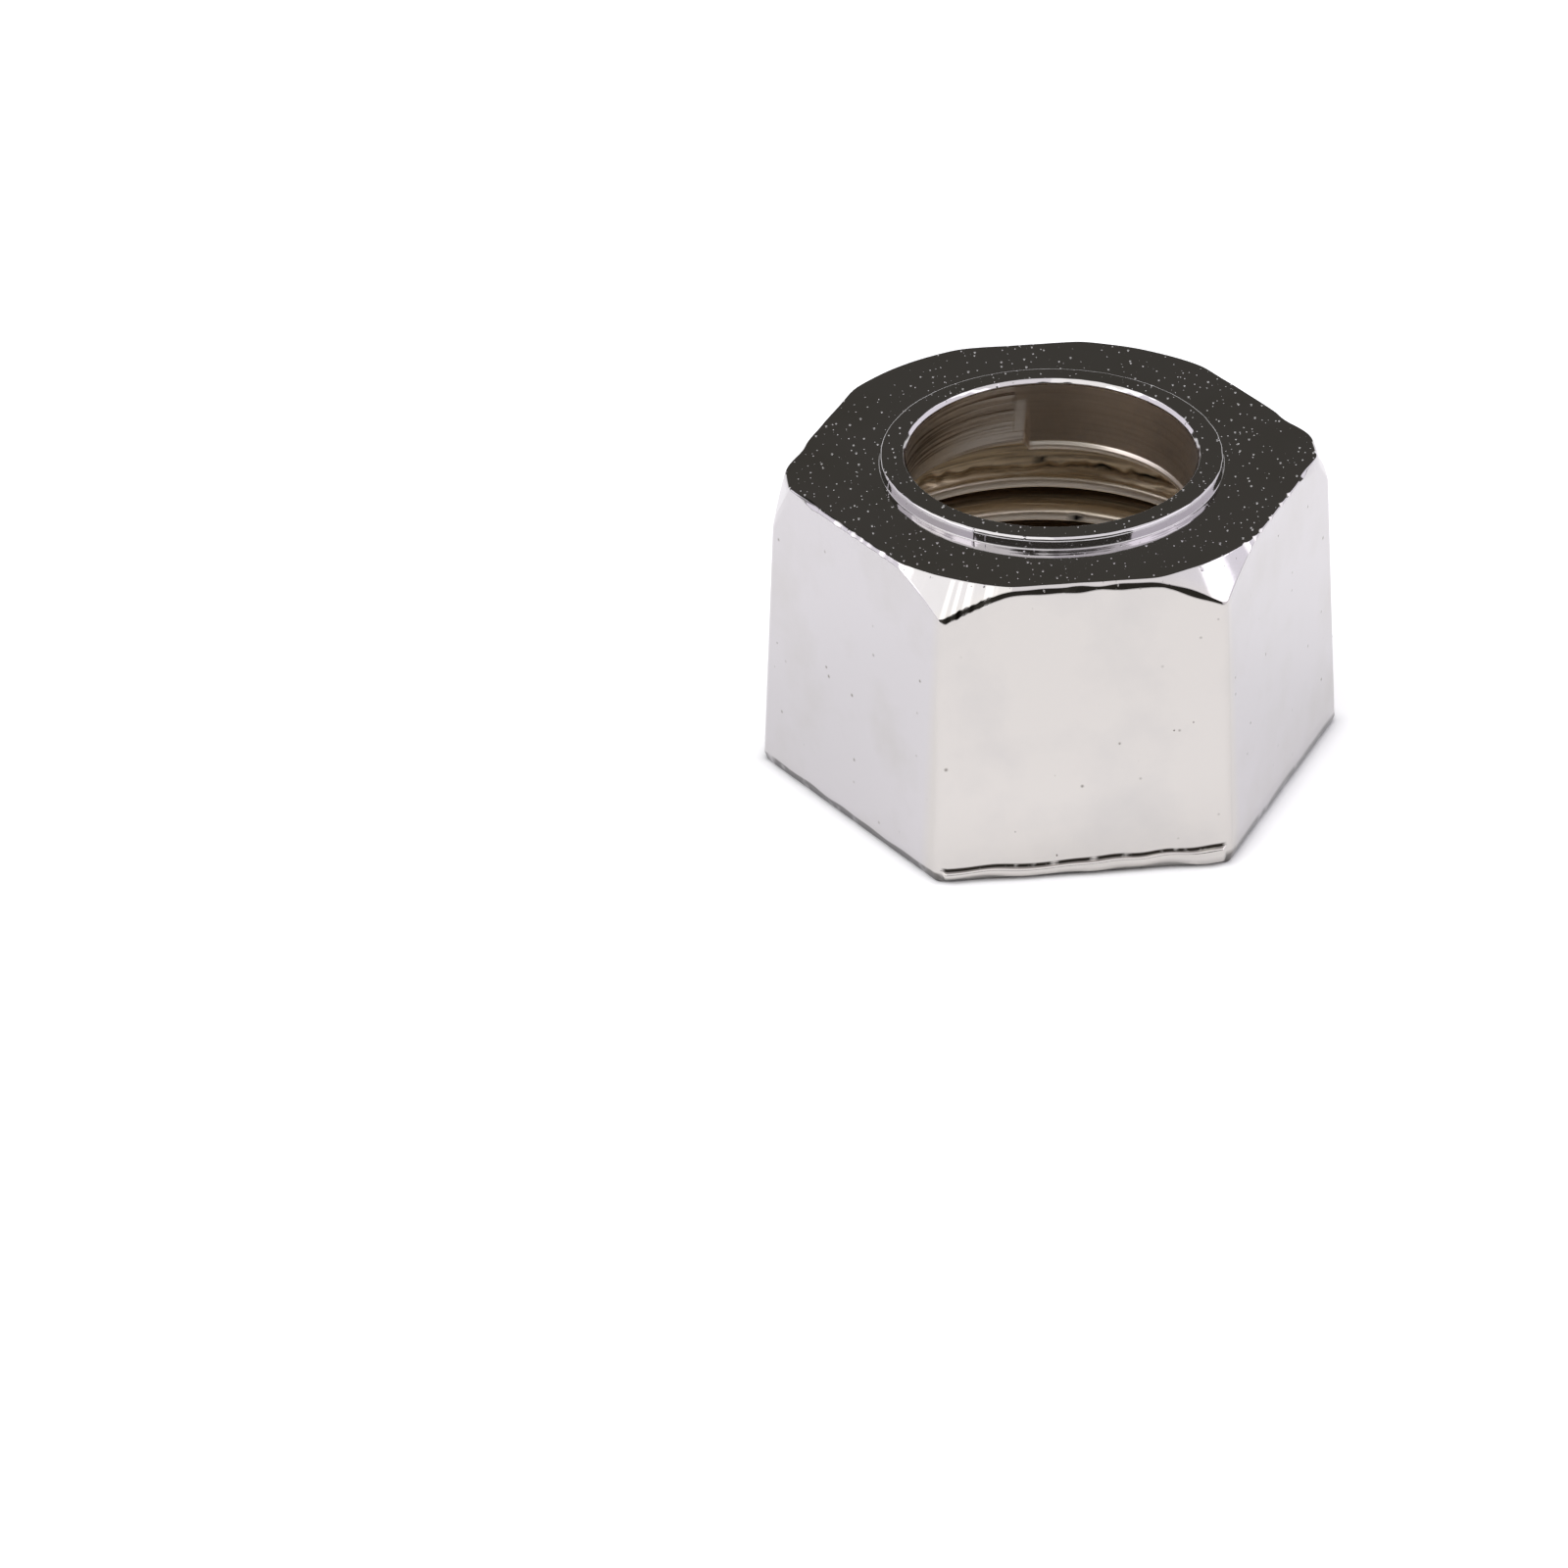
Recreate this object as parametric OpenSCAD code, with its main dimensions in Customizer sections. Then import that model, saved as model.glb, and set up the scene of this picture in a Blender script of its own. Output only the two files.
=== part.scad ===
// Faucet shank nut: a hot forged, plated hexagon nut with a tail hole through its roof
// and a straight 1/2 inch pipe thread (14 to the inch) up its inside.
// The base sits on Z = 0, the thread opens downwards and one flat faces -Y.

/* [Hexagon] */
// Wall from the thread's roots to the flats, at the base
base_wall = 1.17; // [0.9:0.01:4]
// Height from the base to the top face
body_height = 15; // [13:0.1:22]
// How far each flat leans in on its way up to the top face
flat_lean_depth = 0.6; // [0.1:0.05:0.8]
// Radius of the six upright edges
edge_radius = 0.5; // [0.2:0.05:1]

/* [Bevels] */
// How far the round edge of the top face runs past the flats, towards the corners
top_round_width = 0.28; // [0.1:0.01:0.8]
// Width of the bevel along the top of each flat
top_bevel_width = 0.22; // [0.1:0.01:0.4]
// Height of the same bevel, which also gives the corner bevels their slope
top_bevel_height = 0.22; // [0.1:0.01:0.4]
// Height of the undercut round the base
base_undercut_height = 0.4; // [0.2:0.05:0.8]
// Depth of the undercut, inwards from the flats
base_undercut_depth = 0.2; // [0.1:0.05:0.4]

/* [Collar] */
// Width of the raised collar, from the hole's wall to the collar's rim
collar_width = 1.4; // [1:0.05:2.5]
// Height of the collar above the top face
collar_height = 0.55; // [0.3:0.05:1]
// Rounding of the collar's rim
collar_round = 0.25; // [0.1:0.05:0.3]

/* [Tail hole] */
// Outside diameter of the tail or tube that passes through the roof
tail_d = 12.7; // [10:0.1:13.5]
// Clearance round the tail, on the radius
tail_clearance = 0.15; // [0.05:0.05:0.4]
// Rounding of the hole's mouth
mouth_round = 0.4; // [0.2:0.05:0.6]
// Thickness of the roof, without the collar
roof_thickness = 3.15; // [2:0.05:4]
// Bevel on the lower edge of the hole
hole_lower_bevel = 0.15; // [0.05:0.05:0.3]

/* [Thread] */
// Threads per inch
threads_per_inch = 14; // [12:1:18]
// Diameter inside the crests
crest_d = 19.2; // [18.8:0.1:19.6]
// Length of the threaded stretch, from the base
thread_length = 10.2; // [6:0.2:11]
// Lead-in bevel below the first crest, beyond the thread's depth
lead_in = 0.1; // [0:0.05:0.2]

/* [Flash] */
// Depth of the forging flash, outwards from the front flat
flash_depth = 0.3; // [0.1:0.05:0.5]
// Height of the flash at its left end
flash_left_height = 0.2; // [0.1:0.05:0.6]
// Height of the flash at its right end
flash_right_height = 0.55; // [0.1:0.05:0.8]

/* [Hidden] */
sides = 6;
inch = 25.4;
$fn = 96;

plating_grey = "#C9C7C6";

// Thread form: 60 degree flanks, a flat of a quarter pitch on the crests and an eighth in the roots
pitch = inch / threads_per_inch;
crest_flat = pitch / 4;
root_flat = pitch / 8;
flank_angle = 30;
thread_depth = (pitch - crest_flat - root_flat) / 2 / tan(flank_angle);
crest_r = crest_d / 2;
root_r = crest_r + thread_depth;
lead_in_depth = thread_depth + lead_in;
groove_count = floor((thread_length - lead_in_depth) / pitch);

// Half widths of the hexagon, at the flats and at the corners
base_apothem = root_r + base_wall;
base_corner_r = base_apothem / cos(180 / sides);
top_apothem = base_apothem - flat_lean_depth;
flat_angle = atan(flat_lean_depth / body_height);
edge_angle = atan(flat_lean_depth / cos(180 / sides) / body_height);

// Round edge of the top face, and how far the bevels turn from upright
top_face_r = top_apothem + top_round_width;
bevel_turn = atan(top_bevel_width / top_bevel_height);

// Levels up the nut
collar_top = body_height + collar_height;
roof_underside = body_height - roof_thickness;

// Tail hole and collar
hole_r = tail_d / 2 + tail_clearance;
collar_r = hole_r + collar_width;

// Past any face that a cut goes through
past = 1;
// Side of a block that covers the whole nut
cover = 8 * base_corner_r;
// How far pieces that fuse run into each other
sunk = 0.8;

// One block per flat, whose near face passes the apothem at height z and leans in by lean degrees
module flat_blocks(apothem, z, lean) {
    intersection_for(side = [0 : sides - 1])
        rotate([0, 0, side * 360 / sides])
            translate([0, -apothem, z])
                rotate([-lean, 0, 0])
                    translate([-cover / 2, 0, -cover / 2])
                        cube(cover);
}

// What a rounded upright edge leaves off the sharp corner
module edge_shaving() {
    centre_back = edge_radius / cos(180 / sides);
    rotate([0, -edge_angle, 0])
        translate([0, 0, -past])
            linear_extrude(height = body_height + 3 * past)
                difference() {
                    polygon([
                        [-centre_back, 0],
                        [past - centre_back, past * tan(180 / sides)],
                        [past + edge_radius, 0],
                        [past - centre_back, -past * tan(180 / sides)]
                    ]);
                    translate([-centre_back, 0]) circle(edge_radius);
                }
}

// The forged hexagon: leaning flats, rounded edges, bevelled top and undercut base
module hexagon() {
    difference() {
        intersection() {
            cylinder(h = body_height, r = base_corner_r + past);
            flat_blocks(base_apothem, 0, flat_angle);
            flat_blocks(top_apothem - top_bevel_width, body_height, bevel_turn);
            flat_blocks(base_apothem - base_undercut_depth, 0,
                        -atan(base_undercut_depth / base_undercut_height));
            corner_bevel();
        }
        for (corner = [0 : sides - 1])
            rotate([0, 0, corner * 360 / sides])
                translate([base_corner_r, 0, 0])
                    edge_shaving();
    }
}

// Cone that bevels the six top corners
module corner_bevel() {
    drop = body_height / 2;
    translate([0, 0, body_height - drop])
        cylinder(h = drop, r1 = top_face_r + drop * tan(bevel_turn), r2 = top_face_r);
    cylinder(h = body_height - drop, r = base_corner_r + past);
}

// Raised collar round the tail hole, with a rounded rim
module collar() {
    translate([0, 0, body_height])
        rotate_extrude() {
            translate([0, -sunk]) square([collar_r - collar_round, collar_height + sunk]);
            translate([0, -sunk]) square([collar_r, collar_height + sunk - collar_round]);
            translate([collar_r - collar_round, collar_height - collar_round]) circle(collar_round);
        }
}

// Thin fin of forging flash along the foot of the front flat, taller towards the right
module flash() {
    left = -base_corner_r / 2 + edge_radius;
    right = base_corner_r / 2 - edge_radius;
    outer = -base_apothem - flash_depth;
    foot = base_undercut_height;
    translate([0, outer, 0])
        rotate([90, 0, 0])
            translate([0, 0, -flash_depth - sunk])
                linear_extrude(height = flash_depth + sunk)
                    polygon([
                        [left, foot],
                        [right, foot],
                        [right, foot + flash_right_height],
                        [left, foot + flash_left_height]
                    ]);
}

// Hole in the roof, with a rounded mouth on top and a small bevel below
module tail_hole() {
    translate([0, 0, roof_underside - past])
        cylinder(h = collar_top - roof_underside + 2 * past, r = hole_r);
    translate([0, 0, collar_top - mouth_round])
        rotate_extrude()
            difference() {
                square([hole_r + mouth_round, mouth_round + past]);
                translate([hole_r + mouth_round, 0]) circle(mouth_round);
            }
    translate([0, 0, roof_underside - hole_lower_bevel])
        cylinder(h = 2 * hole_lower_bevel, r1 = hole_r + 2 * hole_lower_bevel, r2 = hole_r);
}

// One groove of the thread, as a ring with the thread's own section
module thread_groove() {
    opening = pitch - crest_flat;
    rotate_extrude()
        polygon([
            [crest_r - past, -opening / 2],
            [crest_r, -opening / 2],
            [root_r, -root_flat / 2],
            [root_r, root_flat / 2],
            [crest_r, opening / 2],
            [crest_r - past, opening / 2]
        ]);
}

// The bore at crest size up to the roof, its lead-in and its grooves
module threaded_bore() {
    translate([0, 0, -past])
        cylinder(h = roof_underside + past, r = crest_r);
    translate([0, 0, -past])
        cylinder(h = lead_in_depth + past, r1 = crest_r + lead_in_depth + past, r2 = crest_r);
    for (groove = [0 : groove_count - 1])
        translate([0, 0, lead_in_depth + pitch / 2 + groove * pitch])
            thread_groove();
}

module nut() {
    color(plating_grey)
        difference() {
            union() {
                hexagon();
                collar();
                flash();
            }
            tail_hole();
            threaded_bore();
        }
}

nut();
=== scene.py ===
import math

import bmesh
import bpy
import numpy as np
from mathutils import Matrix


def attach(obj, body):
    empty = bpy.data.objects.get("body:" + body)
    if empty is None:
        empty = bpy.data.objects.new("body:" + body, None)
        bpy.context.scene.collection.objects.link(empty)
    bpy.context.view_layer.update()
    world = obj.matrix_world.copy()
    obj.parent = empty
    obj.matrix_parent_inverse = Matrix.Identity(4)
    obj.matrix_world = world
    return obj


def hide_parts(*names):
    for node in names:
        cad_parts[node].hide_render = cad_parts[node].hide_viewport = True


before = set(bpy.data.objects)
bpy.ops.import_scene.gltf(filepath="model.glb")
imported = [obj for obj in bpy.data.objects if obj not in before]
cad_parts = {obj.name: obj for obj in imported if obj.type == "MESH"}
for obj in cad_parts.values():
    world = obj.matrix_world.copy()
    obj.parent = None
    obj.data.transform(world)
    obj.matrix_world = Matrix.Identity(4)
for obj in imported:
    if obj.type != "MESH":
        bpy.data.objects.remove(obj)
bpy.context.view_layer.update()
scene = bpy.context.scene
scene.view_settings.view_transform = "Standard"
mm = 0.001
print("loaded the nodes", ", ".join(sorted(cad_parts)))


# sRGB hex colour to linear: low values are divided by 12.92, the rest follow the 2.4 power curve
def linearColour(hexColour):
    values = np.array([int(hexColour[i:i + 2], 16) for i in (1, 3, 5)]) / 255
    linear = np.where(values <= 0.04045, values / 12.92, ((values + 0.055) / 1.055) ** 2.4)
    return (*linear.tolist(), 1.0)


# Adds one node, sets its properties and input values, and joins its inputs to other nodes' outputs
def addNode(tree, kind, settings=None, values=None, links=None):
    node = tree.nodes.new(kind)
    for name, value in (settings or {}).items():
        setattr(node, name, value)
    for name, value in (values or {}).items():
        node.inputs[name].default_value = value
    for name, socket in (links or {}).items():
        tree.links.new(socket, node.inputs[name])
    return node


photoCamera = {
    "framePixels": 1600,
    "lens": 190.65,                 # mm, on a sensor 36 mm wide
    "elevation": 32.179,            # degrees above the floor
    "turn": 5.489,                  # degrees that the front flat is turned away to the right
    "roll": -0.897,
    "distance": 389.6,              # mm from the lens to the base, along the lens axis
    "baseCentreAt": (1071.7, 754.15),   # pixel where the middle of the base lies
}


# The camera's own axes come from elevation and roll. Its place is the base centre's place in the
# picture run backwards along those axes. All of it is then turned back about Z by the nut's turn.
def placeCamera(size):
    up, roll, turn = (math.radians(size[k]) for k in ("elevation", "roll", "turn"))
    forward = np.array([0, math.cos(up), -math.sin(up)])
    sideways, upwards = np.array([1.0, 0, 0]), np.array([0, math.sin(up), math.cos(up)])
    across = math.cos(roll) * sideways + math.sin(roll) * upwards
    above = math.cos(roll) * upwards - math.sin(roll) * sideways
    distance = size["distance"] * mm
    pixel = 36 / size["lens"] / size["framePixels"] * distance
    rightBy, downBy = [(at - size["framePixels"] / 2) * pixel for at in size["baseCentreAt"]]
    place = -(across * rightBy - above * downBy + forward * distance)
    back = np.array([[math.cos(turn), math.sin(turn), 0], [-math.sin(turn), math.cos(turn), 0], [0, 0, 1]])
    matrix = np.eye(4)
    matrix[:3, :4] = np.stack([back @ across, back @ above, -back @ forward, back @ place], 1)
    camera = bpy.data.objects.new("camera", bpy.data.cameras.new("camera"))
    camera.data.lens, camera.data.sensor_width = size["lens"], 36
    camera.data.clip_start, camera.data.clip_end = 0.01, 10
    scene.collection.objects.link(camera)
    camera.matrix_world = matrix.T.tolist()
    scene.camera = camera


placeCamera(photoCamera)
print("camera placed")


# Distance from the axis to a hexagon with rounded corners: apothem over the cosine along a flat,
# and along a corner the far crossing of the ray with the corner's circle
def hexRadius(angle, apothem, rounding):
    across = np.abs((angle + np.pi / 2 + np.pi / 6) % (np.pi / 3) - np.pi / 6)
    flatEnd = np.arctan((apothem - rounding) * math.tan(np.pi / 6) / apothem)
    centre = (apothem - rounding) / math.cos(np.pi / 6)
    off = np.pi / 6 - across
    corner = centre * np.cos(off) + np.sqrt(np.maximum(rounding ** 2 - (centre * np.sin(off)) ** 2, 0))
    return np.where(across < flatEnd, apothem / np.cos(across), corner)


# Quads between neighbouring rows and columns, the last column joined to the first if closed
def gridQuads(rows, columns, closed, offset=0):
    last = columns if closed else columns - 1
    row, column = np.meshgrid(np.arange(rows - 1), np.arange(last), indexing="ij")
    following = (column + 1) % columns
    return np.stack([row * columns + column, row * columns + following,
                     (row + 1) * columns + following,
                     (row + 1) * columns + column], 2).reshape(-1, 4) + offset


# Place, size and aim of each lamp are in metres
studio = {
    "floorRadius": 1900,            # mm
    "floor": "#F9F9F9",
    "surround": "#4E4C47",          # the dim room behind the lamps
    "ambient": 0.12,
    "brighter": 0.32,               # what the paper's plain white adds for the camera and for the metal
    # rings of the floor round the nut's foot: (mm outside the flats, share of that white)
    "openness": ((-0.6, 0.0), (0.05, 0.0), (0.35, 0.6), (0.9, 1.0), (6.0, 1.0)),
    "lamps": {
        "overheadLeftSoftbox": {"place": (-0.5, -0.17, 0.80), "size": (1.0, 1.26), "power": 6.0,
                                "faces": (-0.5, -0.17, 0), "colour": "#FFFFFF"},
        "overheadRightSoftbox": {"place": (0.5, -0.17, 0.80), "size": (1.0, 1.26), "power": 4.7,
                                 "faces": (0.5, -0.17, 0), "colour": "#FCFAFF"},
        "leftSoftbox": {"place": (-1.0, 0.03, 0.60), "size": (1.74, 0.90), "power": 6.0,
                        "faces": (0, 0.03, 0.60), "colour": "#F8F5FF"},
        "rightSoftbox": {"place": (1.0, 0.03, 0.60), "size": (1.74, 0.90), "power": 6.0,
                         "faces": (0, 0.03, 0.60), "colour": "#F8F5FF"},
    },
}


# A rectangle of even light. Its axes are the direction away from the point that it faces, the
# level direction across that, and their cross product. All is turned with the camera
def addSoftbox(name, size):
    lamp = bpy.data.objects.new(name, bpy.data.lights.new(name, "AREA"))
    lamp.data.shape, lamp.data.energy = "RECTANGLE", size["power"]
    lamp.data.size, lamp.data.size_y = size["size"]
    lamp.data.color = linearColour(size["colour"])[:3]
    turn = -math.radians(photoCamera["turn"])
    away = np.array(size["place"], float) - np.array(size["faces"], float)
    away /= np.linalg.norm(away)
    along = np.array([1.0, 0, 0]) if abs(away[2]) > 0.9 else np.array([-away[1], away[0], 0])
    matrix, spin = np.eye(4), np.eye(4)
    matrix[:3, :4] = np.stack([along, np.cross(away, along), away, size["place"]], 1)
    spin[:2, :2] = [[math.cos(turn), -math.sin(turn)], [math.sin(turn), math.cos(turn)]]
    scene.collection.objects.link(lamp)
    lamp.matrix_world = (spin @ matrix).T.tolist()


# 1 for rays of the camera, of metal and of glass, 0 for the rays that light the nut
def whereSeen(tree, path):
    metalToo = addNode(tree, "ShaderNodeMath", {"operation": "MAXIMUM"},
                       links={0: path.outputs["Is Camera Ray"], 1: path.outputs["Is Glossy Ray"]})
    glassToo = addNode(tree, "ShaderNodeMath", {"operation": "MAXIMUM"},
                       links={0: metalToo.outputs[0], 1: path.outputs["Is Transmission Ray"]})
    return glassToo.outputs[0]


# The camera sees a white room, and metal sees it pale up to a little above the horizon and dim higher up
def makeRoom(size):
    world = bpy.data.worlds.new("paleRoom")
    scene.world = world
    world.use_nodes = True
    tree = world.node_tree
    tree.nodes.clear()
    direction = addNode(tree, "ShaderNodeTexCoord")
    height = addNode(tree, "ShaderNodeSeparateXYZ", links={0: direction.outputs["Generated"]})
    dimming = addNode(tree, "ShaderNodeMapRange", {"interpolation_type": "SMOOTHSTEP"},
                      {"From Min": 0.06, "From Max": 0.13}, {"Value": height.outputs["Z"]})
    path = addNode(tree, "ShaderNodeLightPath")
    forMetal = addNode(tree, "ShaderNodeMath", {"operation": "MULTIPLY"},
                       links={0: dimming.outputs[0], 1: path.outputs["Is Glossy Ray"]})
    seenColour = addNode(tree, "ShaderNodeMix", {"data_type": "RGBA"},
                         {"A": (1, 1, 1, 1),
                          "B": linearColour(size["surround"])}, {"Factor": forMetal.outputs[0]})
    ambient = addNode(tree, "ShaderNodeBackground",
                      values={"Color": (1, 1, 1, 1), "Strength": size["ambient"]})
    shown = addNode(tree, "ShaderNodeBackground", values={"Strength": 1.0},
                    links={"Color": seenColour.outputs["Result"]})
    either = addNode(tree, "ShaderNodeMixShader",
                     links={0: whereSeen(tree, path), 1: ambient.outputs[0], 2: shown.outputs[0]})
    addNode(tree, "ShaderNodeOutputWorld", links={"Surface": either.outputs[0]})


# Hexagonal rings of points round the nut's foot, then a circle far out. Each ring carries how open
# the paper there is: close to the foot it keeps its shadow, and further out it shows plain white
def addFloor(size, apothem):
    angle = np.arange(96) * np.pi / 48
    rings = [hexRadius(angle, apothem + offset, 0.5) for offset, _ in size["openness"]]
    radius = np.stack(rings + [angle * 0 + 200, angle * 0 + size["floorRadius"]]) * mm
    share = np.array([share for _, share in size["openness"]] + [1.0, 1.0])
    points = np.stack([radius * np.cos(angle), radius * np.sin(angle), radius * 0], 2).reshape(-1, 3)
    mesh = bpy.data.meshes.new("floor")
    quads = gridQuads(len(radius), 96, True)[:, ::-1]
    mesh.from_pydata(points.tolist(), [], [list(range(96))] + quads.tolist())
    openness = mesh.attributes.new("openness", "FLOAT", "POINT")
    openness.data.foreach_set("value", np.repeat(share, 96).astype(np.float32))
    floor = bpy.data.objects.new("floor", mesh)
    scene.collection.objects.link(floor)
    paint = bpy.data.materials.new("mattWhitePaper")      # coated paper: no gloss, keeps soft shadows
    paint.use_nodes = True
    tree = paint.node_tree
    surface = tree.nodes["Principled BSDF"]
    surface.inputs["Base Color"].default_value = linearColour(size["floor"])
    surface.inputs["Roughness"].default_value = 1.0
    surface.inputs["Specular IOR Level"].default_value = 0.0
    opened = addNode(tree, "ShaderNodeAttribute", {"attribute_name": "openness"})
    seen = whereSeen(tree, addNode(tree, "ShaderNodeLightPath"))
    amount = addNode(tree, "ShaderNodeMath", {"operation": "MULTIPLY"},
                     links={0: opened.outputs["Fac"], 1: seen})
    white = addNode(tree, "ShaderNodeEmission", values={"Strength": size["brighter"]},
                    links={"Color": amount.outputs[0]})
    both = addNode(tree, "ShaderNodeAddShader", links={0: surface.outputs[0], 1: white.outputs[0]})
    tree.links.new(both.outputs[0], tree.nodes["Material Output"].inputs["Surface"])
    mesh.materials.append(paint)


# All sizes in mm, as in the solid that this surface dresses. Angles in degrees, counted from +X
nutForm = {
    "perSide": 104,                 # columns of points for each of the six sides
    "crowding": 0.5,                # how far the columns crowd towards the corners
    "baseApothem": 11.752, "bodyHeight": 15.0, "flatLean": 0.6, "edgeRadius": 0.5,
    "topCircle": 11.432,            # radius of the top face at the front and back corners
    "cornerFill": 0.80,             # how much further out it runs at the two side corners
    # bevel width of each side, from the one at 30 degrees on. The front one is the fifth
    "bevelWidths": (0.04, 0.04, 0.04, 0.12, 0.22, 0.05),
    "bevelFacet": 0.085,            # the dull facet where the front bevel meets its flat
    "undercutHeight": 0.4, "undercutDepth": 0.14,
    "collarRadius": 7.9, "collarHeight": 0.55, "collarRound": 0.22,
    "holeRadius": 6.5, "holeDraft": 0.2, "mouthWidth": 0.14, "roofUnderside": 11.85,
    "flashDepth": 0.3, "flashLeft": 0.2, "flashRight": 0.55,
    "threadsPerInch": 14, "crestRadius": 9.6, "leadInDepth": 1.082,
    "crestAt": (84.5, 8.33),        # a point on the thread's crest
    "threadEnds": (8.3, 9.55),      # where the thread starts to fade, and where it has gone
    "nicks": (312.4, 316.1, 319.5, 325.7, 332.6, 337.4),    # small nicks in the rim on the right
    "cutAway": (97.0, 205.0),       # where the boring tool cut into the tail hole's wall
    # dark gouges in the bore: (angle, height, half its length in degrees)
    "gouges": ((85.4, 9.54, 1.6), (67.8, 9.19, 2.4), (55.1, 9.15, 3.0), (46.0, 9.10, 2.0),
               (75.3, 6.42, 1.6)),
}


# Even steps round each side, less a sine that draws them together at the corners
def columnAngles(form):
    step = np.arange(form["perSide"]) / form["perSide"]
    share = step - form["crowding"] * np.sin(2 * np.pi * step) / (2 * np.pi)
    return (np.arange(6)[:, None] + share).ravel() * np.pi / 3


# The lesser of two values, eased where they come close
def easedLesser(a, b, ease):
    return -ease * np.log(np.exp(-(a - 12) / ease) + np.exp(-(b - 12) / ease)) + 12


# Sum of cosines round the nut with random sizes and phases, brought to a spread of 1
def ripple(angle, seed, fewest, most, fade=0.5):
    random = np.random.default_rng(seed)
    waves = np.arange(fewest, most)[:, None]
    sizes = random.normal(size=waves.shape) / waves ** fade
    total = (sizes * np.cos(waves * angle + random.uniform(0, 2 * np.pi, waves.shape))).sum(0)
    return total / total.std()


# 1 within the reach of a middle angle, falling to 0 past it over the softness. The middle, reach and
# softness are in degrees, the angle itself in radians
def near(angle, middle, reach, soft):
    away = np.abs((np.degrees(angle) - middle + 180) % 360 - 180)
    share = np.clip((reach + soft - away) / soft, 0, 1)
    return share * share * (3 - 2 * share)


# Profile with rounded corners, for all columns at once. Each corner is (name, r, z, rounding, rows, run):
# rows is how many points its curve gets, and run how many the straight after it gets. A curve is the
# quadratic through the corner's two tangent points, and a straight is shared out evenly between two
# points set close to its ends. The names of the rows come back too, with After for a straight.
def roundedProfile(corners, guard=0.06):
    points = [np.stack(np.broadcast_arrays(np.asarray(c[1], float), c[2])) for c in corners]
    width = max(p.shape[1] if p.ndim > 1 else 1 for p in points)
    points = [p.reshape(2, -1) * np.ones((1, width)) for p in points]
    starts, ends = [points[0]], [points[0]]
    for i in range(1, len(corners) - 1):
        incoming, outgoing = points[i] - points[i - 1], points[i + 1] - points[i]
        lengthIn = np.maximum(np.hypot(*incoming), 1e-6)
        lengthOut = np.maximum(np.hypot(*outgoing), 1e-6)
        cosine = np.clip((incoming * outgoing).sum(0) / lengthIn / lengthOut, -0.999, 1)
        reach = corners[i][3] * np.sqrt((1 - cosine) / (1 + cosine))
        reach = np.clip(reach, 0, 0.48 * np.minimum(lengthIn, lengthOut))
        starts.append(points[i] - incoming / lengthIn * reach)
        ends.append(points[i] + outgoing / lengthOut * reach)
    starts.append(points[-1])
    rows, names = [], []
    for i, (name, _, _, _, curveRows, runRows) in enumerate(corners):
        curve = np.linspace(0, 1, curveRows)[:, None, None] if curveRows > 1 else np.zeros((1, 1, 1))
        end = ends[i] if i < len(ends) else points[-1]
        rows.append((1 - curve) ** 2 * starts[i] + 2 * curve * (1 - curve) * points[i] + curve ** 2 * end)
        names += [name] * curveRows
        if runRows:
            run = starts[i + 1] - ends[i]
            close = np.minimum(guard / np.maximum(np.hypot(*run), 1e-6), 0.25)
            share = np.linspace(0, 1, runRows)[:, None] if runRows > 1 else np.full((1, 1), 0.5)
            share = close + (1 - 2 * close) * share
            rows.append(ends[i] + share[:, None, :] * run)
            names += [name + "After"] * runRows
    stacked = np.concatenate(rows)
    return stacked[:, 0], stacked[:, 1], np.array(names)


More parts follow.
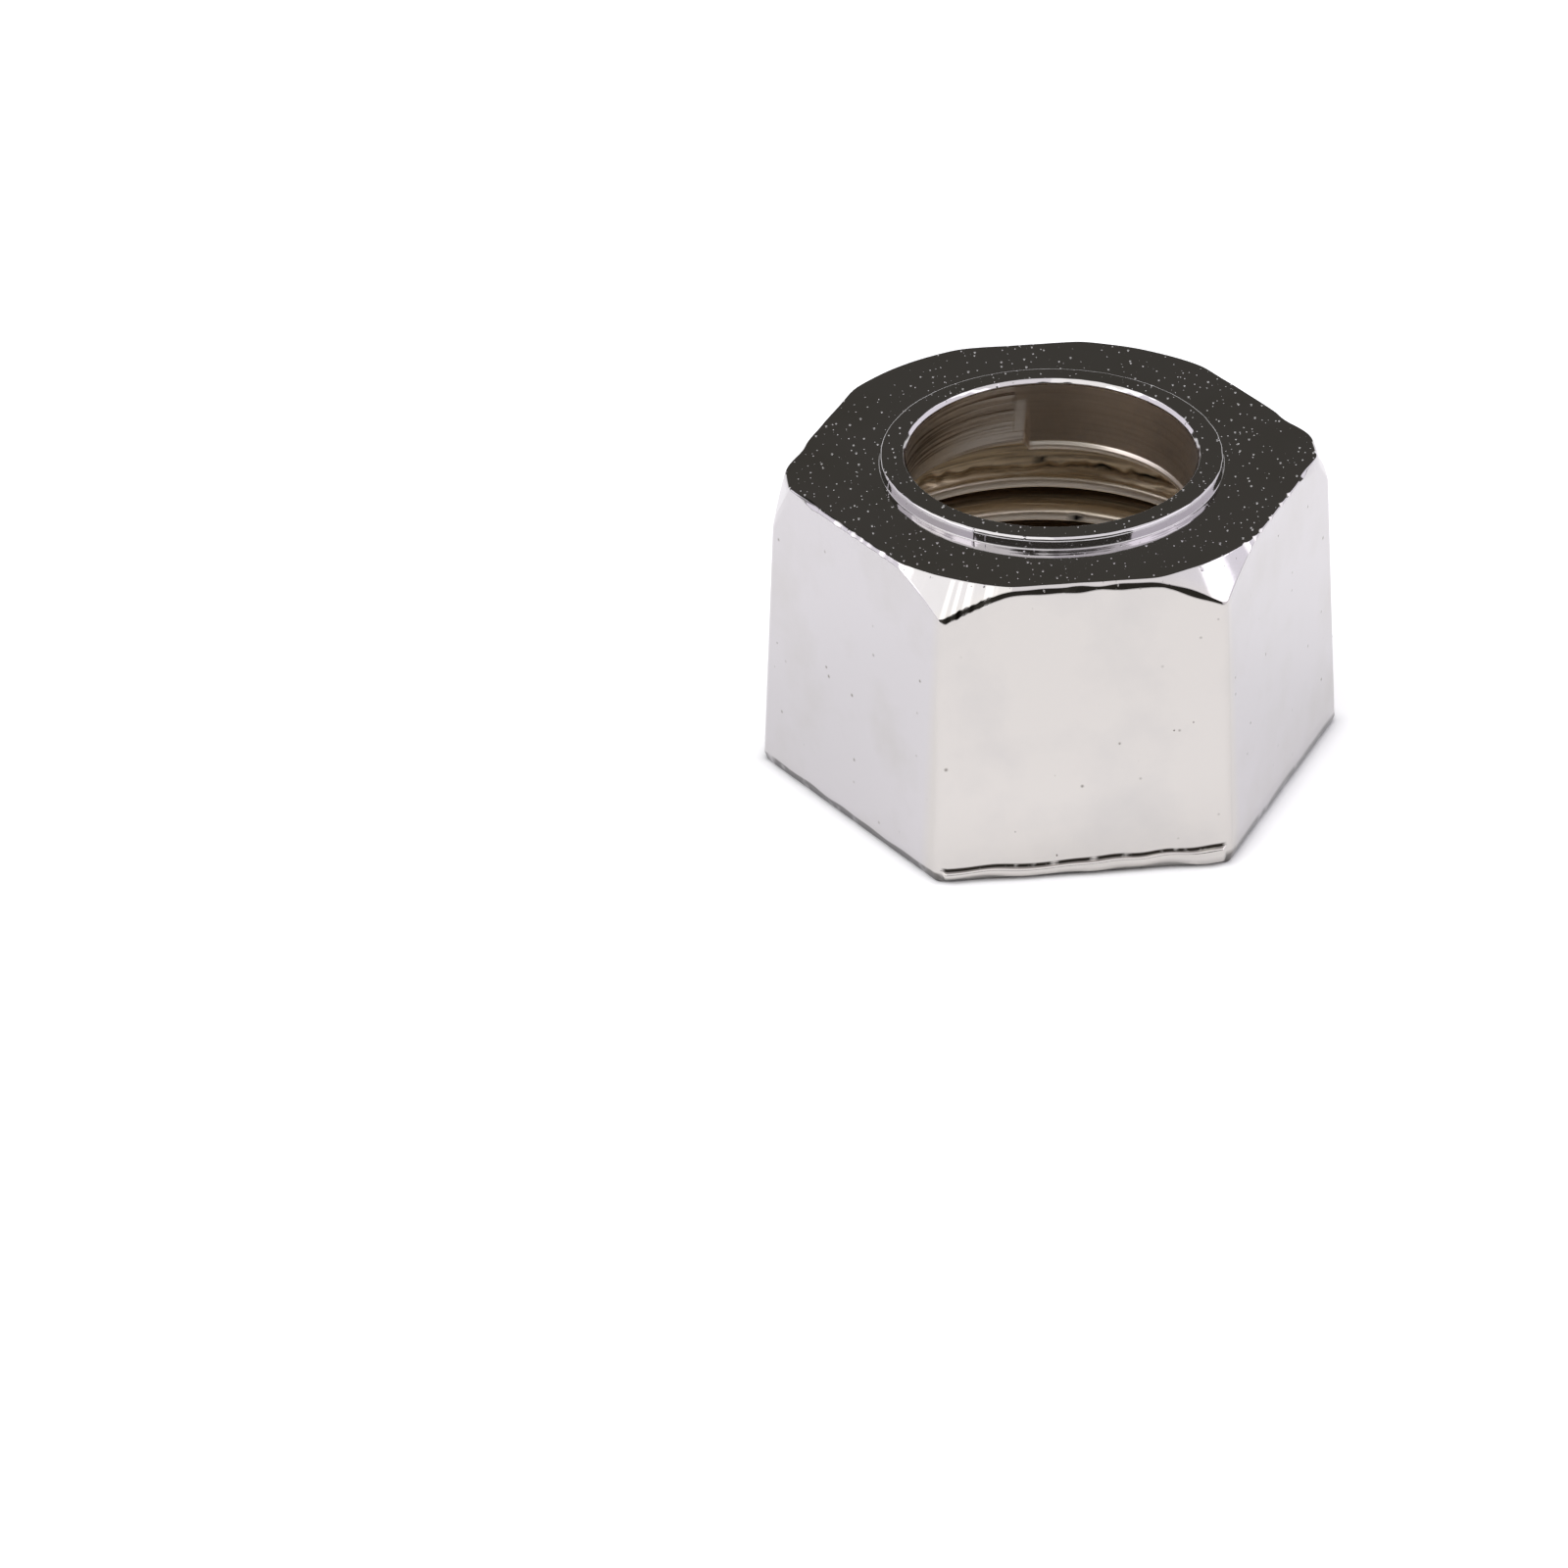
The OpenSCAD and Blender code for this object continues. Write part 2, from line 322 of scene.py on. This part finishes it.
# Outside, from the underside round the flats, bevels, top face and collar, and down the tail hole.
# Every radius is a base size for the whole turn plus what near() and ripple() add at some angles
def outerProfile(form, angle):
    top, lean = form["bodyHeight"], form["flatLean"]
    degrees = np.degrees(angle)

    # a flat's distance from the axis at a height: it leans in evenly up to the top
    def flatAt(z):
        return hexRadius(angle, form["baseApothem"] - lean * z / top, form["edgeRadius"])

    front = near(angle, 270, 28.0, 1.5)                       # the side that carries the flash
    along = np.clip((degrees - 270) / 29, -1, 1)              # -1 at its left end, 1 at its right end
    wave = ripple(angle, 5, 9, 34, 0.4)
    foot = form["undercutHeight"] + 0.03 * ripple(angle, 7, 5, 40) - front * (0.06 + 0.05 * wave)
    flashTop = form["flashLeft"] + (form["flashRight"] - form["flashLeft"]) * (along + 1) / 2
    flashTop = flashTop + front * (0.02 * ripple(angle, 3, 8, 30) + 0.04 * wave)
    flashOut = form["flashDepth"] * front * (0.82 + 0.09 * np.clip(wave, -2, 2))
    shelf = np.minimum(0.06, 0.3 * flashOut)

    leftCorner, rightCorner = near(angle, 180, 3, 12), near(angle, 0, 3, 12)
    sideCorner = leftCorner + rightCorner
    bevelSlope = 1 + 2.3 * leftCorner + 1.4 * rightCorner
    side = np.floor(degrees / 60 + 1e-9).astype(int) % 6
    bevel = np.array(form["bevelWidths"])[side]
    fine, coarse = ripple(angle, 11, 60, 180, 0.1), ripple(angle, 12, 12, 50, 0.3)
    leftEdge = near(angle, 217, 13, 4)                        # burred stretch of the left rim
    chips = np.maximum(ripple(angle, 13, 40, 130, 0.2) - 0.2, 0) * leftEdge
    nicks = np.exp(-(((degrees[:, None] - np.array(form["nicks"])) / 0.6) ** 2)).sum(1)
    hexagonEdge = hexRadius(angle, form["baseApothem"] - lean, 0.001) - bevel - 0.05 * chips
    circleEdge = form["topCircle"] + form["cornerFill"] * sideCorner
    rimEdge = easedLesser(hexagonEdge, circleEdge, 0.05) - 0.006 * coarse - 0.10 * nicks
    width = bevel
    for _ in range(8):                                        # the bevel ends where it meets the flat
        width = flatAt(top - width * bevelSlope) - rimEdge
    width = np.maximum(width, 0.02)
    bevelFoot = top - width * bevelSlope
    frontBevel, mess = near(angle, 270, 29, 2), near(angle, 245, 4, 3)
    facet = 0.02 + frontBevel * (form["bevelFacet"] + 0.018 * coarse) + mess * 0.03 * np.abs(fine)
    facet = np.clip(facet, 0.015, 0.2) + 0.30 * sideCorner
    facetIn = facet * 1.41 / np.sqrt(1 + bevelSlope ** 2)
    facetIn = np.minimum(facetIn, 0.6 * width)

    cutFrom, cutTo = form["cutAway"]
    middle, reach = (cutFrom + cutTo) / 2, (cutTo - cutFrom) / 2
    cutHigh = near(angle, middle, reach - 1.0, 1.5)           # the cut reaches a little further lower down
    cutLow = near(angle, middle - 2.5, reach + 1.5, 1.5)
    hole = form["holeRadius"]
    mouth = hole + form["holeDraft"]
    bead = [(6.66, 14.6), (6.56, 13.4), (hole, 12.40), (6.38, 12.24), (6.40, 12.06), (6.62, 11.87)]
    cut = [(6.76, 14.6), (6.84, 13.4), (6.96, 12.70), (7.06, 12.40), (7.16, 12.15), (7.32, 11.87)]
    shares = (cutHigh, cutLow, cutLow, cutLow, cutLow, cutLow)
    lower = [(b[0] + (c[0] - b[0]) * k, b[1] + (c[1] - b[1]) * k) for b, c, k in zip(bead, cut, shares)]

    collar = form["collarRadius"]
    collarTop = top + form["collarHeight"]
    uneven = 0.008 * ripple(angle, 17, 12, 60, 0.3)
    corners = [
        ("under", 11.05, 0.0, 0, 1, 1),
        ("baseEdge", hexRadius(angle, form["baseApothem"] - form["undercutDepth"], 0.4), 0.0, 0.05, 3, 1),
        ("foot", flatAt(foot) + flashOut, foot, 0.06, 4, 1),
        ("flashFace", flatAt(foot + flashTop - shelf) + flashOut * 0.96, foot + flashTop - shelf, 0.03, 3,
         0),
        ("flashEdge", flatAt(foot + flashTop) + flashOut * 0.96 - shelf, foot + flashTop, 0.03, 3, 0),
        ("flashRoot", flatAt(foot + flashTop + 0.02), foot + flashTop + 0.02, 0.02, 2, 0),
        ("flat", flatAt(foot + flashTop + 0.13), foot + flashTop + 0.13, 0.05, 2, 12),
        ("facetFoot", flatAt(bevelFoot - facet * 0.9), bevelFoot - facet * 0.9, 0.05 + 1.2 * sideCorner,
         4, 1),
        ("facetTop", rimEdge + width - facetIn, bevelFoot + facetIn * bevelSlope, 0.04 + 0.9 * sideCorner,
         4, 2),
        ("rim", rimEdge, top, 0.04 + 0.4 * sideCorner, 5, 8),
        ("collarFoot", collar + 0.03, top, 0.05, 4, 2),
        ("collarRim", collar - 0.02 + uneven, collarTop, form["collarRound"], 7, 4),
        ("mouthOuter", mouth + form["mouthWidth"] + uneven, collarTop, 0.05, 4, 1),
        ("mouthInner", mouth, collarTop - 0.17, 0.06, 4, 2),
        ("wallTop", lower[0][0], lower[0][1], 0.2, 2, 4),
        ("wall", lower[1][0], lower[1][1], 0.3, 3, 4),
        ("lip", lower[2][0], lower[2][1], 0.04, 3, 0),
        ("beadTop", lower[3][0], lower[3][1], 0.06, 3, 0),
        ("beadFoot", lower[4][0], lower[4][1], 0.06, 3, 0),
        ("lipFoot", lower[5][0], lower[5][1], 0.05, 2, 0),
        ("roof", 8.0, form["roofUnderside"], 0, 1, 0),
    ]
    r, z, names = roundedProfile(corners)

    # 1 on the rows with these names, 0 on the others
    def rows(*chosen):
        return np.isin(names, chosen)[:, None].astype(float)

    leftLine = near(angle, 203, 14, 3)
    specks = np.clip(fine - 0.3, 0, 1)
    marks = {
        # painted shade, with a few dark specks of dirt at the messy left corner: the undercut mirroring its
        # own shadow, dark lines above the flash and along the front bevel, and a darker stretch of the left
        # rim
        "shadeAndDirt": np.clip(rows("facetFoot", "facetFootAfter", "facetTop")
                         * (0.55 * frontBevel + 0.4 * mess * specks)
                         + rows("flashRoot", "flat") * front * 1.6
                         + rows("baseEdge", "baseEdgeAfter", "foot") * 0.7 * (1 - 0.6 * front)
                         + rows("rim") * 0.7 * leftLine, 0, 1),
        # torn metal, matt and light
        "torn": np.clip(rows("rim", "facetTop", "facetTopAfter") * (0.8 * np.minimum(chips * 2, 1) + nicks)
                        + rows("facetTop", "facetTopAfter", "facetFoot")
                        * mess * np.clip(-fine, 0, 1), 0, 1),
        # turning marks
        "turned": rows("mouthInnerAfter", "wallTop", "wallTopAfter", "wall", "wallAfter")
        * (0.12 + 0.88 * cutHigh)
        + rows("lip", "beadTop", "beadFoot", "lipFoot", "roof") * (0.2 + 0.8 * cutLow)
        + rows("collarFootAfter", "collarRim") * 0.5,
        # the hole's lip and bead lightened in colour: a painted highlight
        "paintedHighlight": rows("lip", "beadTop", "beadFoot") * (1 - cutLow),
        "depth": 0 * r,
    }
    return r, z, names, marks


# The tapped bore. Its rows follow the helix, so that each crest edge is a row: height is a row's own
# depth plus one pitch a turn, held between the two ends. The radius is the tooth form's depth at that
# height, never deeper than the fading end above or shallower than the lead-in cone below.
def boreProfile(form, angle):
    pitch = 25.4 / form["threadsPerInch"]
    crest, root = pitch / 8, pitch / 16                       # half the crest flat and half the root flat
    depth = (pitch / 2 - crest - root) / math.tan(math.radians(30))
    half = pitch / 2
    # measured down from the middle of a crest, through the groove, to the next crest
    stations = np.array([0, crest - 0.06, crest + 0.01, crest + 0.09, 0.50, half - root - 0.06,
                         half - 0.02, half + root + 0.06, pitch - 0.50, pitch - crest - 0.09,
                         pitch - crest - 0.01, pitch - crest + 0.06])
    turns = np.arange(8)[:, None] * pitch
    steps = (turns + stations).ravel()[:, None]
    crestAngle, crestHeight = form["crestAt"]
    start = crestHeight + pitch * (angle - math.radians(crestAngle)) / (2 * np.pi) + 2 * pitch
    lowest, highest = 0.0, form["threadEnds"][1] + 0.5
    z = np.clip(start - steps, lowest, highest)

    phase = np.abs((start - z + half) % pitch - half)         # distance from the nearest crest's middle
    slope = depth / (half - crest - root)
    # tooth form with its edges eased: a ramp whose start is a short parabola
    past = phase - crest
    ease = 0.07
    ramp = np.where(past < -ease, 0, np.where(past > ease, past, (past + ease) ** 2 / (4 * ease)))
    r = form["crestRadius"] + np.minimum(slope * ramp, depth)
    fadeFrom, fadeTo = form["threadEnds"]
    patchy = 0.09 * ripple(angle, 23, 3, 26, 0.3) + 0.05 * ripple(angle, 29, 20, 90, 0.2)
    fading = form["crestRadius"] + depth * (fadeTo - z) / (fadeTo - fadeFrom) + patchy
    r = np.minimum(r, np.maximum(fading, form["crestRadius"]))
    r = np.maximum(r, form["crestRadius"] + form["leadInDepth"] - z)
    gouge = 0 * r
    for at, height, long in form["gouges"]:
        off = ((np.degrees(angle) - at) / long) ** 2 + ((z - height) / 0.16) ** 2
        gouge = gouge + np.exp(-off)
    return r + 0.18 * gouge, z, (r - form["crestRadius"]) / depth, gouge


# Points of a profile carried round the axis: r times cosine, r times sine, z
def carriedRound(r, z, angle):
    return np.stack([r * np.cos(angle), r * np.sin(angle), z], 2).reshape(-1, 3)


# Triangles between a ring and one with half as many points, three for each coarse step
def ringTriangles(fine, coarse, columns, fineFirst):
    step = np.arange(columns // 2)
    a, b, c = fine + 2 * step, fine + 2 * step + 1, fine + (2 * step + 2) % columns
    p, q = coarse + step, coarse + (step + 1) % (columns // 2)
    parts = [(a, b, p), (b, q, p), (b, c, q)]
    if not fineFirst:
        parts = [part[::-1] for part in parts]
    return np.concatenate([np.stack(part, 1) for part in parts])


# One closed surface: the outside's rows, the roof's inner face, the bore's rows and the underside, each
# carried round the axis, joined ring to ring, with doubles merged. Shares from 0 to 1 ride on its points
def buildNut(form):
    angle = columnAngles(form)
    columns = len(angle)
    r, z, names, marks = outerProfile(form, angle)
    outer = carriedRound(r, z, angle)

    coarse = angle[::2]
    half = columns // 2
    roof, crestR = form["roofUnderside"], form["crestRadius"]
    upR, upZ, _ = roundedProfile([
        ("roof", 8.3 + 0 * coarse, roof, 0, 1, 1),
        ("boreTop", crestR + 0 * coarse, roof, 0.25, 4, 3),
        ("threadTop", crestR + 0 * coarse, form["threadEnds"][1] + 0.5, 0, 1, 0)])
    around = np.append(coarse, 2 * np.pi)
    boreR, boreZ, boreDepth, gouge = boreProfile(form, around)
    upper = carriedRound(upR, upZ, coarse)
    bore = carriedRound(boreR, boreZ, around)
    under = carriedRound(np.full((1, half), 10.85), np.zeros((1, half)), coarse)

    upperAt = len(outer)
    boreAt = upperAt + len(upper)
    underAt = boreAt + len(bore)
    outerFaces = gridQuads(len(r), columns, True)
    upperFaces = gridQuads(len(upR), half, True, upperAt)
    boreFaces = gridQuads(len(boreR), half + 1, False, boreAt)
    lastRing = boreAt + (len(boreR) - 1) * (half + 1)
    step = np.arange(half)
    underFaces = np.stack([lastRing + step, lastRing + step + 1,
                           underAt + (step + 1) % half, underAt + step], 1)
    roofJoin = ringTriangles((len(r) - 1) * columns, upperAt, columns, True)
    baseJoin = ringTriangles(0, underAt, columns, False)

    points = np.concatenate([outer, upper, bore, under]) * mm
    mesh = bpy.data.meshes.new("platedNut")
    parts = (outerFaces, upperFaces, boreFaces, underFaces, roofJoin, baseJoin)
    faces = [face for part in parts for face in part.tolist()]
    mesh.from_pydata(points.tolist(), [], faces)
    # slot 0 is the bright outside, 1 the tail hole, 2 the bore and its thread
    inHole = np.arange(len(names)) >= np.argmax(names == "mouthInnerAfter")
    slots = np.concatenate([np.repeat(inHole[:-1].astype(int), columns),
                            np.full(len(upperFaces) + len(boreFaces), 2),
                            np.zeros(len(underFaces)),
                            np.full(len(roofJoin), 2), np.zeros(len(baseJoin))])
    mesh.polygons.foreach_set("material_index", slots.astype(np.int32))
    rest = len(points) - len(outer)
    marks = {name: np.append(values.ravel(), np.zeros(rest)) for name, values in marks.items()}
    marks["turned"][len(outer):] = 0.6
    boreEnd = boreAt + len(bore)
    marks["depth"][boreAt:boreEnd] = boreDepth.ravel()
    # painted shade: the bore's gouges darkened nearly to black
    marks["shadeAndDirt"][boreAt:boreEnd] = np.clip(1.8 * gouge.ravel(), 0, 1)
    # painted highlight: the thread's crests below 8.9 mm lightened in colour
    marks["paintedHighlight"][boreAt:boreEnd] = np.clip(1 - 4 * boreDepth.ravel(), 0, 1) * (boreZ.ravel() < 8.9)
    for name, values in marks.items():
        mesh.attributes.new(name, "FLOAT", "POINT").data.foreach_set("value", values.astype(np.float32))
    work = bmesh.new()
    work.from_mesh(mesh)
    bmesh.ops.remove_doubles(work, verts=work.verts, dist=1e-7)
    work.to_mesh(mesh)
    work.free()
    mesh.polygons.foreach_set("use_smooth", np.ones(len(mesh.polygons), bool))
    mesh.update()
    nut = bpy.data.objects.new("platedNut", mesh)
    scene.collection.objects.link(nut)
    triangles = sum(len(face.vertices) - 2 for face in mesh.polygons)
    print("nut surface:", len(mesh.vertices), "points,", triangles, "triangles")
    return nut


for lampName, lampSize in studio["lamps"].items():
    addSoftbox(lampName, lampSize)
makeRoom(studio)
addFloor(studio, nutForm["baseApothem"] - nutForm["undercutDepth"])
print("light and floor set")

nut = buildNut(nutForm)


# A metal whose patterns start from the place in mm. It comes with its node tree, its shader and that place
def newMetal(name, colour, roughness):
    metal = bpy.data.materials.new(name)
    metal.use_nodes = True
    tree = metal.node_tree
    surface = tree.nodes["Principled BSDF"]
    surface.inputs["Base Color"].default_value = linearColour(colour)
    surface.inputs["Metallic"].default_value = 1.0
    surface.inputs["Roughness"].default_value = roughness
    place = addNode(tree, "ShaderNodeTexCoord")
    inMm = addNode(tree, "ShaderNodeMapping", values={"Scale": (1000, 1000, 1000)},
                   links={"Vector": place.outputs["Object"]})
    return metal, tree, surface, inMm.outputs["Vector"]


# Spread of round spots: the distance to the nearest of scattered points, over each spot's own size,
# turned to 1 in the middle and 0 at the edge. Spots whose random number is below the share are left out
def scatterSpots(tree, inMm, spacing, largest, leftOut, flat):
    cells = addNode(tree, "ShaderNodeTexVoronoi", {"voronoi_dimensions": "2D" if flat else "3D"},
                    {"Scale": 1 / spacing}, {"Vector": inMm})
    number = addNode(tree, "ShaderNodeSeparateColor", links={"Color": cells.outputs["Color"]})
    spotSize = addNode(tree, "ShaderNodeMapRange", {},
                       {"From Min": leftOut, "From Max": 1, "To Min": 0.0001, "To Max": largest / spacing},
                       {"Value": number.outputs["Red"]})
    share = addNode(tree, "ShaderNodeMath", {"operation": "DIVIDE"},
                    links={0: cells.outputs["Distance"], 1: spotSize.outputs[0]})
    spot = addNode(tree, "ShaderNodeMapRange", {"interpolation_type": "SMOOTHSTEP"},
                   {"From Min": 1, "From Max": 0.1, "To Min": 0, "To Max": 1}, {"Value": share.outputs[0]})
    return spot.outputs[0]


# Mixes a colour, or a plain value, over what is there by a share
def mixOver(tree, under, over, share):
    kind = "RGBA" if isinstance(over, str) else "FLOAT"
    mixed = addNode(tree, "ShaderNodeMix", {"data_type": kind},
                    {"B": linearColour(over) if kind == "RGBA" else over}, {"Factor": share, "A": under})
    return mixed.outputs["Result"]


# Turning marks: noise that changes slowly across and round, and fast with height and radius
def turningMarks(tree, inMm, spacing):
    flattened = addNode(tree, "ShaderNodeMapping", values={"Scale": (1, 1, 0)}, links={"Vector": inMm})
    radius = addNode(tree, "ShaderNodeVectorMath", {"operation": "LENGTH"}, links={0: flattened.outputs[0]})
    fast = addNode(tree, "ShaderNodeMath", {"operation": "MULTIPLY"}, {1: 1 / spacing},
                   {0: radius.outputs["Value"]})
    slow = addNode(tree, "ShaderNodeMapping", values={"Scale": (0.15, 0.15, 1 / spacing)},
                   links={"Vector": inMm})
    shift = addNode(tree, "ShaderNodeCombineXYZ", links={"X": fast.outputs[0]})
    where = addNode(tree, "ShaderNodeVectorMath", {"operation": "ADD"},
                    links={0: slow.outputs[0], 1: shift.outputs[0]})
    marks = addNode(tree, "ShaderNodeTexNoise", values={"Scale": 1.0, "Detail": 3},
                    links={"Vector": where.outputs[0]})
    return marks.outputs["Fac"]


# Bright nickel-chrome plate over polished forged brass: mirror-like, with nodules on top and pits on
# the flats. The front flat's colour is a little warmer and the other sides' a little lilac: painted
# reflection tints
plate = {
    # the plate colour carries the front's warm painted reflection tint, the second colour the sides' lilac
    # one
    "colour": "#C5C1BD", "sideReflectionTint": "#C3C0C2", "roughness": 0.07,
    "cloudSize": 4.0, "cloud": "#BAB7B5",             # mm, and what the clouds darken to
    "peelSize": 0.7, "peelHeight": 0.0016,            # mm, a faint orange peel
    "noduleSpacing": 0.55, "noduleRadius": 0.10, "noduleHeight": 0.022, "nodulesLeftOut": 0.62,
    "speckSpacing": 0.30, "speckRadius": 0.045, "specksLeftOut": 0.80,
    "noduleFrom": 14.5,                               # mm up: nodules lie on the top face and collar only
    "pitSpacing": 0.9, "pitRadius": 0.14, "pitDepth": 0.02, "pitsLeftOut": 0.25, "pitColour": "#85807A",
    # the first colour is painted shade for the undercut and the dark lines, with a little dirt
    "shadeAndDirtColour": "#2A2622", "tornColour": "#F4F1EE", "tornRoughness": 0.45,
}


def makePlate(look):
    metal, tree, surface, inMm = newMetal("brightNickelChromePlate", look["colour"], look["roughness"])
    split = addNode(tree, "ShaderNodeSeparateXYZ", links={"Vector": inMm})
    onTop = addNode(tree, "ShaderNodeMapRange", {},
                    {"From Min": look["noduleFrom"],
                     "From Max": look["noduleFrom"] + 0.3}, {"Value": split.outputs["Z"]})
    # the front flat lies at the lowest Y, so its warmer painted reflection tint goes by Y
    sideways = addNode(tree, "ShaderNodeMapRange", {}, {"From Min": -11.2, "From Max": -10.6},
                       {"Value": split.outputs["Y"]})
    warm = addNode(tree, "ShaderNodeRGB")
    warm.outputs[0].default_value = linearColour(look["colour"])
    colour = mixOver(tree, warm.outputs[0], look["sideReflectionTint"], sideways.outputs[0])
    cloud = addNode(tree, "ShaderNodeTexNoise", values={"Scale": 1 / look["cloudSize"], "Detail": 5},
                    links={"Vector": inMm})
    cloudy = addNode(tree, "ShaderNodeMapRange", {}, {"From Min": 0.45, "From Max": 0.85},
                     {"Value": cloud.outputs["Fac"]})
    colour = mixOver(tree, colour, look["cloud"], cloudy.outputs[0])

    nodules = scatterSpots(tree, inMm, look["noduleSpacing"], look["noduleRadius"],
                           look["nodulesLeftOut"], True)
    specks = scatterSpots(tree, inMm, look["speckSpacing"], look["speckRadius"], look["specksLeftOut"],
                          True)
    either = addNode(tree, "ShaderNodeMath", {"operation": "MAXIMUM"}, links={0: nodules, 1: specks})
    raised = addNode(tree, "ShaderNodeMath", {"operation": "MULTIPLY"},
                     links={0: either.outputs[0], 1: onTop.outputs[0]})
    below = addNode(tree, "ShaderNodeMath", {"operation": "SUBTRACT"}, {0: 1.0}, {1: onTop.outputs[0]})
    pits = scatterSpots(tree, inMm, look["pitSpacing"], look["pitRadius"], look["pitsLeftOut"], False)
    pitted = addNode(tree, "ShaderNodeMath", {"operation": "MULTIPLY"},
                     links={0: pits, 1: below.outputs[0]})
    colour = mixOver(tree, colour, look["pitColour"], pitted.outputs[0])
    torn = addNode(tree, "ShaderNodeAttribute", {"attribute_name": "torn"})
    colour = mixOver(tree, colour, look["tornColour"], torn.outputs["Fac"])
    # painted shade with some dirt: undercut, flash line, front bevel line and left rim darkened in noisy
    # patches
    shadeAndDirt = addNode(tree, "ShaderNodeAttribute", {"attribute_name": "shadeAndDirt"})
    grain = addNode(tree, "ShaderNodeTexNoise", values={"Scale": 1.2, "Detail": 3}, links={"Vector": inMm})
    patches = addNode(tree, "ShaderNodeMapRange", {}, {"From Min": 0.25, "From Max": 0.45},
                      {"Value": grain.outputs["Fac"]})
    shadeAndDirtShare = addNode(tree, "ShaderNodeMath", {"operation": "MULTIPLY"},
                    links={0: shadeAndDirt.outputs["Fac"], 1: patches.outputs[0]})
    colour = mixOver(tree, colour, look["shadeAndDirtColour"], shadeAndDirtShare.outputs[0])
    tree.links.new(colour, surface.inputs["Base Color"])
    polish = addNode(tree, "ShaderNodeMapRange", {},
                     {"To Min": look["roughness"], "To Max": look["tornRoughness"]},
                     {"Value": torn.outputs["Fac"]})
    tree.links.new(polish.outputs[0], surface.inputs["Roughness"])

    peel = addNode(tree, "ShaderNodeTexNoise", values={"Scale": 1 / look["peelSize"], "Detail": 2},
                   links={"Vector": inMm})
    turned = addNode(tree, "ShaderNodeAttribute", {"attribute_name": "turned"})
    rings = addNode(tree, "ShaderNodeMath", {"operation": "MULTIPLY"},
                    links={0: turningMarks(tree, inMm, 0.15), 1: turned.outputs["Fac"]})
    bump = addNode(tree, "ShaderNodeBump", values={"Distance": look["peelHeight"] * mm},
                   links={"Height": peel.outputs["Fac"]})
    bump = addNode(tree, "ShaderNodeBump", values={"Distance": 0.012 * mm},
                   links={"Height": rings.outputs[0], "Normal": bump.outputs[0]})
    bump = addNode(tree, "ShaderNodeBump", values={"Distance": look["noduleHeight"] * mm},
                   links={"Height": raised.outputs[0], "Normal": bump.outputs[0]})
    bump = addNode(tree, "ShaderNodeBump", {"invert": True}, {"Distance": look["pitDepth"] * mm},
                   {"Height": pitted.outputs[0], "Normal": bump.outputs[0]})
    tree.links.new(bump.outputs[0], surface.inputs["Normal"])
    return metal


# Thin plate in the hole and bore, where the brass shows through: warm and satin, streaked with turning
# marks. Crests and lips get a lighter colour as a painted highlight, and the thread's roots a darker one as
# painted shade
inside = {
    "holeColour": "#CFC6BD", "holeRoughness": 0.30,
    "boreColour": "#D9C5A6", "boreRoughness": 0.38,
    # the root colour is painted shade in the thread's roots, the highlight colour a painted highlight on
    # crests and lips, the last colour painted shade in the gouges
    "streakColour": "#7D6E5F", "rootShadeColour": "#4A3A2A", "paintedHighlightColour": "#F3E9DC", "shadeAndDirtColour": "#0E0B09",
    "markSpacing": 0.22,            # mm between turning marks
    "markHeight": 0.06,
}


def makeInside(look, name, colour, roughness):
    metal, tree, surface, inMm = newMetal(name, colour, roughness)
    marks = turningMarks(tree, inMm, look["markSpacing"])
    turned = addNode(tree, "ShaderNodeAttribute", {"attribute_name": "turned"})
    height = addNode(tree, "ShaderNodeMath", {"operation": "MULTIPLY"},
                     links={0: marks, 1: turned.outputs["Fac"]})
    dull = addNode(tree, "ShaderNodeMapRange", {}, {"From Min": 0.5, "From Max": 0.68}, {"Value": marks})
    streaked = addNode(tree, "ShaderNodeMath", {"operation": "MULTIPLY"},
                       links={0: dull.outputs[0], 1: turned.outputs["Fac"]})
    plain = addNode(tree, "ShaderNodeRGB")
    plain.outputs[0].default_value = linearColour(colour)
    shown = mixOver(tree, plain.outputs[0], look["streakColour"], streaked.outputs[0])
    # painted shade: the thread's roots darkened by their depth
    depth = addNode(tree, "ShaderNodeAttribute", {"attribute_name": "depth"})
    deep = addNode(tree, "ShaderNodeMapRange", {"interpolation_type": "SMOOTHSTEP"},
                   {"From Min": 0.35, "From Max": 0.95}, {"Value": depth.outputs["Fac"]})
    shown = mixOver(tree, shown, look["rootShadeColour"], deep.outputs[0])
    # painted highlight: crests, lip and bead lightened in colour
    paintedHighlight = addNode(tree, "ShaderNodeAttribute", {"attribute_name": "paintedHighlight"})
    shown = mixOver(tree, shown, look["paintedHighlightColour"], paintedHighlight.outputs["Fac"])
    # painted shade: the bore's gouges darkened nearly to black
    shadeAndDirt = addNode(tree, "ShaderNodeAttribute", {"attribute_name": "shadeAndDirt"})
    shown = mixOver(tree, shown, look["shadeAndDirtColour"], shadeAndDirt.outputs["Fac"])
    tree.links.new(shown, surface.inputs["Base Color"])
    bump = addNode(tree, "ShaderNodeBump", values={"Distance": look["markHeight"] * mm},
                   links={"Height": height.outputs[0]})
    tree.links.new(bump.outputs[0], surface.inputs["Normal"])
    return metal


nut.data.materials.append(makePlate(plate))
nut.data.materials.append(makeInside(inside, "thinPlateInTailHole", inside["holeColour"],
                                     inside["holeRoughness"]))
nut.data.materials.append(makeInside(inside, "thinPlateOnTappedBrass", inside["boreColour"],
                                     inside["boreRoughness"]))
print("materials made")

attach(nut, "root")
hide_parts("nut")
